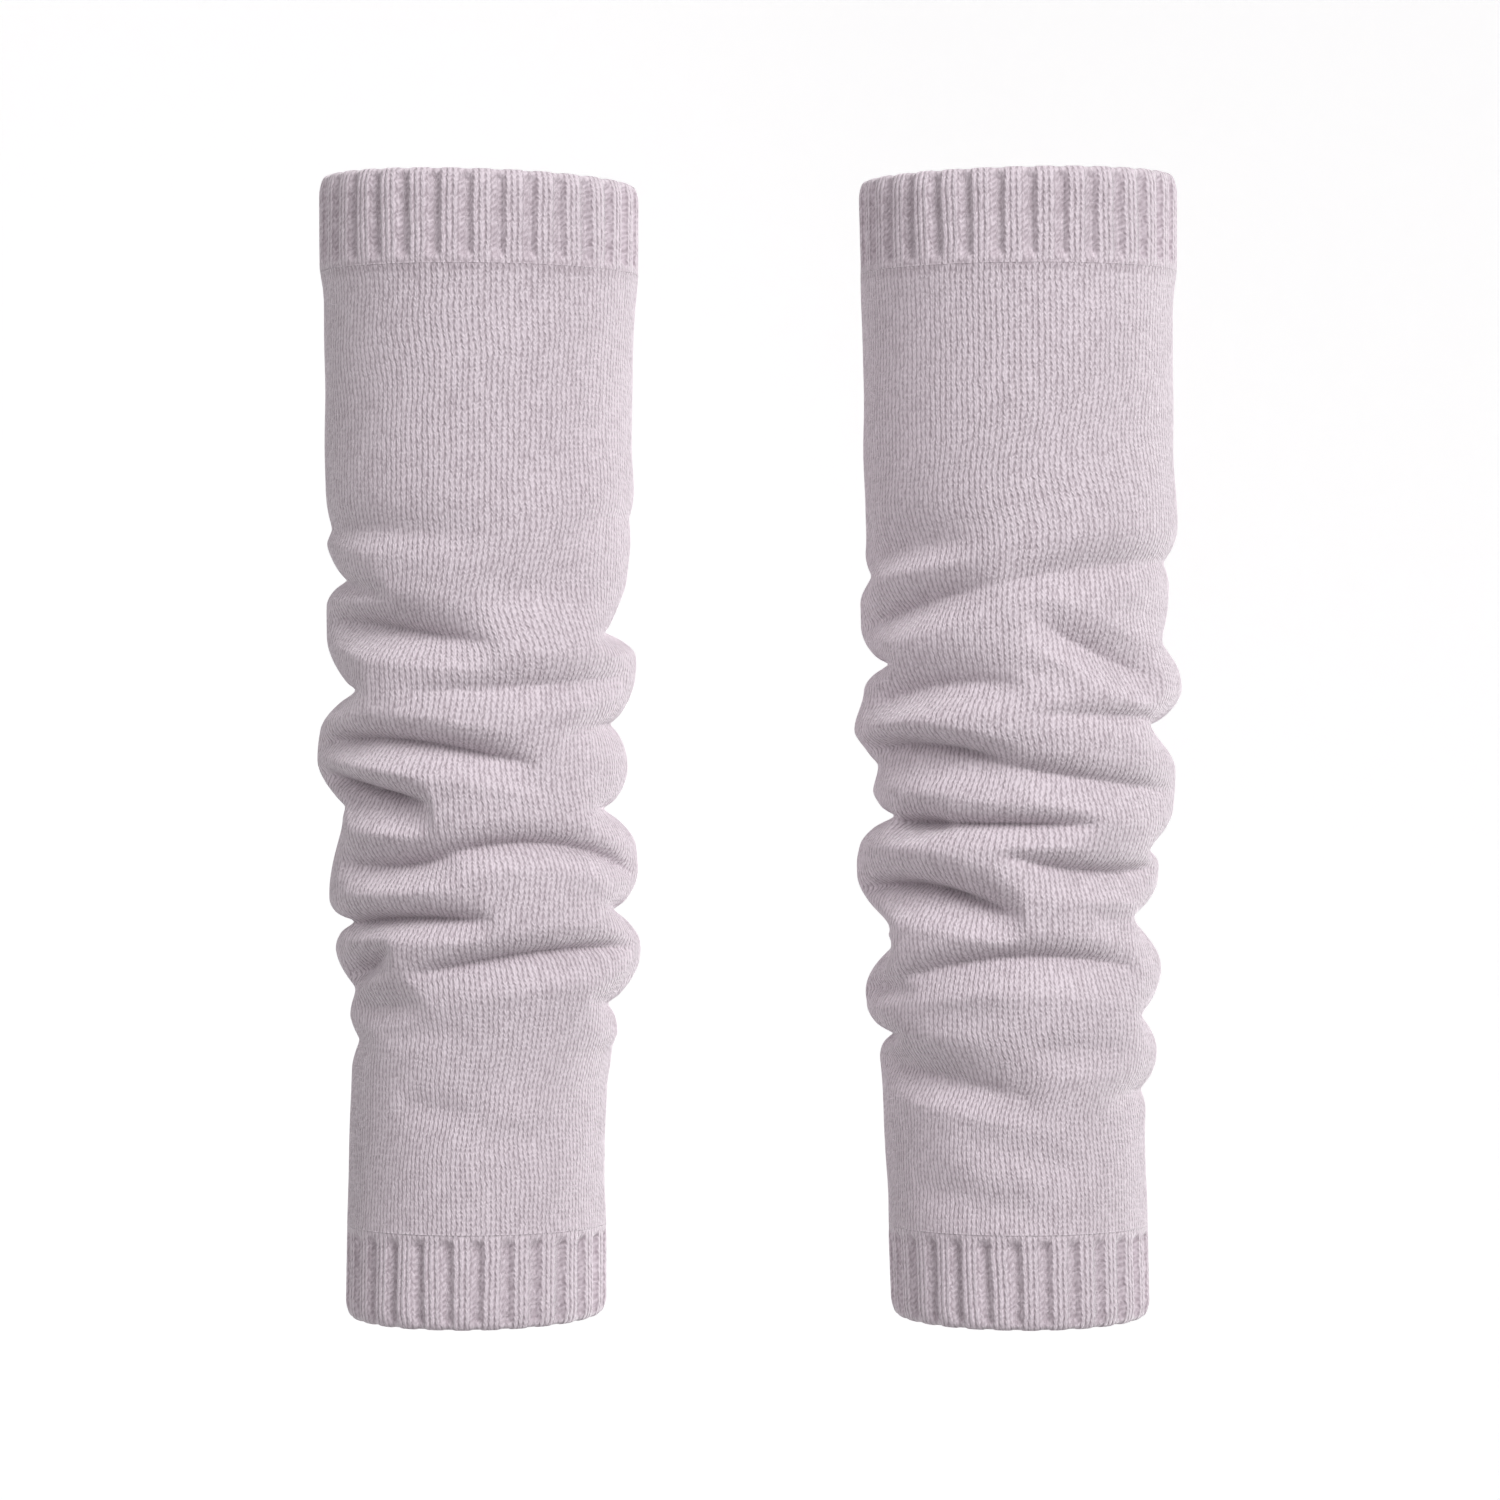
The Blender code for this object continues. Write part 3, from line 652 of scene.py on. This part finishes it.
class Nodes:
    """Short calls for building one material's node tree."""

    def __init__(self, name):
        self.material = bpy.data.materials.new(name)
        self.material.use_nodes = True
        self.tree = self.material.node_tree
        self.surface = self.tree.nodes["Principled BSDF"]

    def put(self, socket, value):
        """Links a node's output to the socket, or sets the socket to a constant."""
        if isinstance(value, bpy.types.NodeSocket):
            self.tree.links.new(value, socket)
        else:
            socket.default_value = value

    def math(self, operation, first, second=0.5, third=None):
        node = self.tree.nodes.new("ShaderNodeMath")
        node.operation = operation
        self.put(node.inputs[0], first)
        self.put(node.inputs[1], second)
        if third is not None:
            self.put(node.inputs[2], third)
        return node.outputs[0]

    def step(self, value, start, end, low=0.0, high=1.0):
        """A smooth rise or fall of value from low at start to high at end."""
        node = self.tree.nodes.new("ShaderNodeMapRange")
        node.interpolation_type = "SMOOTHSTEP"
        self.put(node.inputs["Value"], value)
        node.inputs["From Min"].default_value = start
        node.inputs["From Max"].default_value = end
        node.inputs["To Min"].default_value = low
        node.inputs["To Max"].default_value = high
        return node.outputs["Result"]

    def noise(self, scale, detail):
        place = self.tree.nodes.new("ShaderNodeTexCoord")
        node = self.tree.nodes.new("ShaderNodeTexNoise")
        node.inputs["Scale"].default_value = scale
        node.inputs["Detail"].default_value = detail
        self.tree.links.new(place.outputs["Object"], node.inputs["Vector"])
        return node.outputs["Fac"]

    def wander(self, scale, detail, reach):
        """A noise that stays between -reach and reach."""
        return self.step(self.noise(scale, detail), 0.3, 0.7, -reach, reach)

    def distance(self, value, marks):
        """How far value lies from the nearest of the marks."""
        nearest = None
        for mark in marks:
            away = self.math("ABSOLUTE", self.math("SUBTRACT", value, mark))
            nearest = away if nearest is None else self.math("MINIMUM", nearest, away)
        return nearest

    def scatter(self, first, second):
        """An even random number, 0 to 1, for each pair of whole numbers."""
        cell = self.tree.nodes.new("ShaderNodeCombineXYZ")
        self.put(cell.inputs["X"], first)
        self.put(cell.inputs["Y"], second)
        node = self.tree.nodes.new("ShaderNodeTexWhiteNoise")
        node.noise_dimensions = "2D"
        self.tree.links.new(cell.outputs[0], node.inputs["Vector"])
        return node.outputs["Value"]

    def mix(self, amount, first, second):
        node = self.tree.nodes.new("ShaderNodeMix")
        node.data_type = "RGBA"
        self.put(node.inputs["Factor"], amount)
        self.put(node.inputs["A"], first)
        self.put(node.inputs["B"], second)
        return node.outputs["Result"]

    def bump(self, height, distance, below=None):
        node = self.tree.nodes.new("ShaderNodeBump")
        node.inputs["Strength"].default_value = 1.0
        node.inputs["Distance"].default_value = distance
        self.put(node.inputs["Height"], height)
        if below is not None:
            self.tree.links.new(below, node.inputs["Normal"])
        return node.outputs["Normal"]


def knit_material(name, ribbed):
    """Fine knit: V stitches in columns, purl bumps in the ribs' gaps, and a soft, hairy yarn."""
    nodes = Nodes(name)
    place = nodes.tree.nodes.new("ShaderNodeUVMap")
    place.uv_map = "knit"
    split = nodes.tree.nodes.new("ShaderNodeSeparateXYZ")
    nodes.tree.links.new(place.outputs["UV"], split.inputs[0])
    wale_wander = nodes.wander(WALE_WANDER_SCALE, 1, WALE_WANDER)
    wale = nodes.math("ADD", split.outputs["X"], wale_wander)
    course_wander = nodes.wander(COURSE_WANDER_SCALE, 1, COURSE_WANDER)
    course = nodes.math("ADD", split.outputs["Y"], course_wander)
    # The first course under the upper band is painted darker: painted shade under the band's edge
    painted_seam_shade = nodes.distance(split.outputs["Y"], [UPPER_BAND / COURSE + 0.5])
    painted_seam_shade = nodes.step(painted_seam_shade, 0.3, 1.3, -SEAM_PAINTED_SHADE, 0.0)
    if ribbed:
        end = nodes.distance(split.outputs["Y"], [at / COURSE for at in BAND_ENDS])
        in_rib = nodes.math("DIVIDE", wale, WALES_IN_RIB)
        across = nodes.math("SUBTRACT", nodes.math("FRACT", nodes.math("ADD", in_rib, 0.5)), 0.5)
        off = nodes.math("ABSOLUTE", across)
        wale = nodes.math("ADD", nodes.math("DIVIDE", across, COLUMN_IN_RIB), 0.5)
        knit_share = nodes.step(off, PURL_FROM, KNIT_FROM)
        knit_share = nodes.math("MAXIMUM", knit_share, nodes.step(end, 2.4, 0.8, 0.0, 0.55))
    # Each stitch is a V of two legs, in a column that is shifted a little along
    column = nodes.math("FRACT", wale)
    shift = nodes.scatter(nodes.math("FLOOR", wale), 0.0)
    course = nodes.math("MULTIPLY_ADD", shift, COLUMN_SHIFT, course)
    side = nodes.math("ABSOLUTE", nodes.math("SUBTRACT", column, 0.5))
    leg = nodes.math("MULTIPLY_ADD", side, 1.3, course)
    stitch = nodes.math("SINE", nodes.math("MULTIPLY", leg, 2 * math.pi))
    stitch = nodes.math("MULTIPLY_ADD", stitch, 0.5, 0.5)
    ridge = nodes.step(side, 0.5, 0.14)
    height = nodes.math("MULTIPLY_ADD", stitch, 0.34, nodes.math("MULTIPLY", ridge, 0.66))
    height = nodes.math("MULTIPLY", height, nodes.step(side, 0.0, 0.14, 0.82, 1.0))
    if ribbed:
        slant = nodes.math("MULTIPLY_ADD", in_rib, PURL_TWIST, course)
        bumps = nodes.math("SINE", nodes.math("MULTIPLY", slant, 2 * math.pi))
        purl = nodes.math("MULTIPLY_ADD", bumps, 0.2, 0.38)
        purl = nodes.math("MULTIPLY", purl, nodes.math("SUBTRACT", 1.0, knit_share))
        height = nodes.math("ADD", nodes.math("MULTIPLY", height, knit_share), purl)
    # The yarn is lighter on its crests and darker in the grooves between columns and in the purl
    # gaps, which is painted shade in the hollows; it is also uneven from leg to leg, in specks and
    # in soft patches
    half_column = nodes.math("FLOOR", nodes.math("MULTIPLY", wale, 2.0))
    uneven = nodes.scatter(half_column, nodes.math("FLOOR", leg))
    uneven = nodes.math("MULTIPLY_ADD", uneven, STITCH_UNEVEN, -STITCH_UNEVEN / 2)
    patches = nodes.wander(PATCH_SCALE, 3, PATCHES)
    melange = nodes.wander(MELANGE_SCALE, 2, MELANGE)
    yarn = nodes.math("ADD", patches, melange)
    spread_tone = nodes.math("ADD", yarn, nodes.math("ADD", uneven, painted_seam_shade))
    # Tone follows the stitch height: painted shade in the grooves and purl gaps, on top of the
    # yarn's own specks and patches
    tone = nodes.math("ADD", nodes.math("MULTIPLY_ADD", height, 1.15, -0.02), spread_tone)
    colour = nodes.mix(tone, YARN_DARK, YARN_LIGHT)
    nodes.put(nodes.surface.inputs["Base Color"], colour)
    nodes.surface.inputs["Roughness"].default_value = YARN_ROUGHNESS
    nodes.surface.inputs["Sheen Weight"].default_value = SHEEN_WEIGHT
    nodes.surface.inputs["Sheen Roughness"].default_value = SHEEN_ROUGHNESS
    nodes.surface.inputs["Sheen Tint"].default_value = SHEEN_TINT
    nodes.surface.inputs["Specular IOR Level"].default_value = YARN_SPECULAR
    fine = nodes.bump(nodes.noise(HAIR_SCALE, 3), HAIR_BUMP)
    nodes.put(nodes.surface.inputs["Normal"], nodes.bump(height, STITCH_BUMP, fine))
    return nodes.material


def make_warmer(warmer, plain, ribbed):
    upper_rim, upper_seam, lower_seam, lower_rim = BAND_ENDS
    make_band(
        warmer, "_upper_cuff", upper_rim, upper_seam,
        UPPER_RIBS, warmer.upper_turn, ribbed,
    )
    make_tube(warmer, plain)
    make_band(
        warmer, "_lower_cuff", lower_rim, lower_seam,
        LOWER_RIBS, warmer.lower_turn, ribbed,
    )


def make_stage():
    """A pale floor that sweeps up into a white background, far enough to take no shadow in view."""
    bend = [(-FLOOR_REACH, FLOOR_HEIGHT), (FLOOR_END, FLOOR_HEIGHT)]
    bend += [
        (FLOOR_END + SWEEP_RADIUS * math.sin(a), FLOOR_HEIGHT + SWEEP_RADIUS * (1 - math.cos(a)))
        for a in np.linspace(0, math.pi / 2, 13)[1:]
    ]
    bend.append((FLOOR_END + SWEEP_RADIUS, BACKDROP_TOP))
    points = [(x, y, z) for y, z in bend for x in (-FLOOR_REACH, FLOOR_REACH)]
    faces = [(2 * i, 2 * i + 1, 2 * i + 3, 2 * i + 2) for i in range(len(bend) - 1)]
    mesh = bpy.data.meshes.new("backdrop")
    mesh.from_pydata(points, [], faces)
    mesh.shade_smooth()
    paper = Nodes("white_paper")
    paper.surface.inputs["Base Color"].default_value = PAPER_WHITE
    paper.surface.inputs["Roughness"].default_value = 0.9
    paper.surface.inputs["Emission Color"].default_value = (1.0, 1.0, 1.0, 1.0)
    paper.surface.inputs["Emission Strength"].default_value = PAPER_GLOW
    floor = Nodes("pale_floor")
    floor.surface.inputs["Base Color"].default_value = FLOOR_GREY
    floor.surface.inputs["Roughness"].default_value = 0.9
    mesh.materials.append(paper.material)
    mesh.materials.append(floor.material)
    mesh.polygons[0].material_index = 1
    backdrop = bpy.data.objects.new("backdrop", mesh)
    bpy.context.scene.collection.objects.link(backdrop)


def add_light(row):
    data = bpy.data.lights.new(row.name, "AREA")
    data.shape = "SQUARE"
    data.size = row.size
    data.energy = row.power
    light = bpy.data.objects.new(row.name, data)
    light.location = row.place
    facing = Vector(PAIR_MIDDLE) - Vector(row.place)
    light.rotation_euler = facing.to_track_quat("-Z", "Y").to_euler()
    bpy.context.scene.collection.objects.link(light)


def light_studio():
    for row in LIGHTS:
        add_light(row)
    world = bpy.data.worlds.new("studio")
    world.use_nodes = True
    background = world.node_tree.nodes["Background"]
    background.inputs["Color"].default_value = STUDIO_TINT
    background.inputs["Strength"].default_value = STUDIO_STRENGTH
    bpy.context.scene.world = world
    bpy.context.scene.view_settings.view_transform = "Standard"


def add_camera():
    """A camera at the photograph's height and distance, level, one photo pixel to PIXEL_SIZE."""
    data = bpy.data.cameras.new("camera")
    data.sensor_width = SENSOR_MM
    data.lens = -CAMERA_PLACE[1] / PIXEL_SIZE * SENSOR_MM / PHOTO_PIXELS
    data.clip_end = 60.0
    camera = bpy.data.objects.new("camera", data)
    camera.location = CAMERA_PLACE
    camera.rotation_euler = (math.pi / 2, 0.0, 0.0)
    bpy.context.scene.collection.objects.link(camera)
    bpy.context.scene.camera = camera


plain_knit = knit_material("plain_knit", ribbed=False)
ribbed_knit = knit_material("ribbed_knit", ribbed=True)
for each in WARMERS:
    make_warmer(each, plain_knit, ribbed_knit)
make_stage()
light_studio()
add_camera()
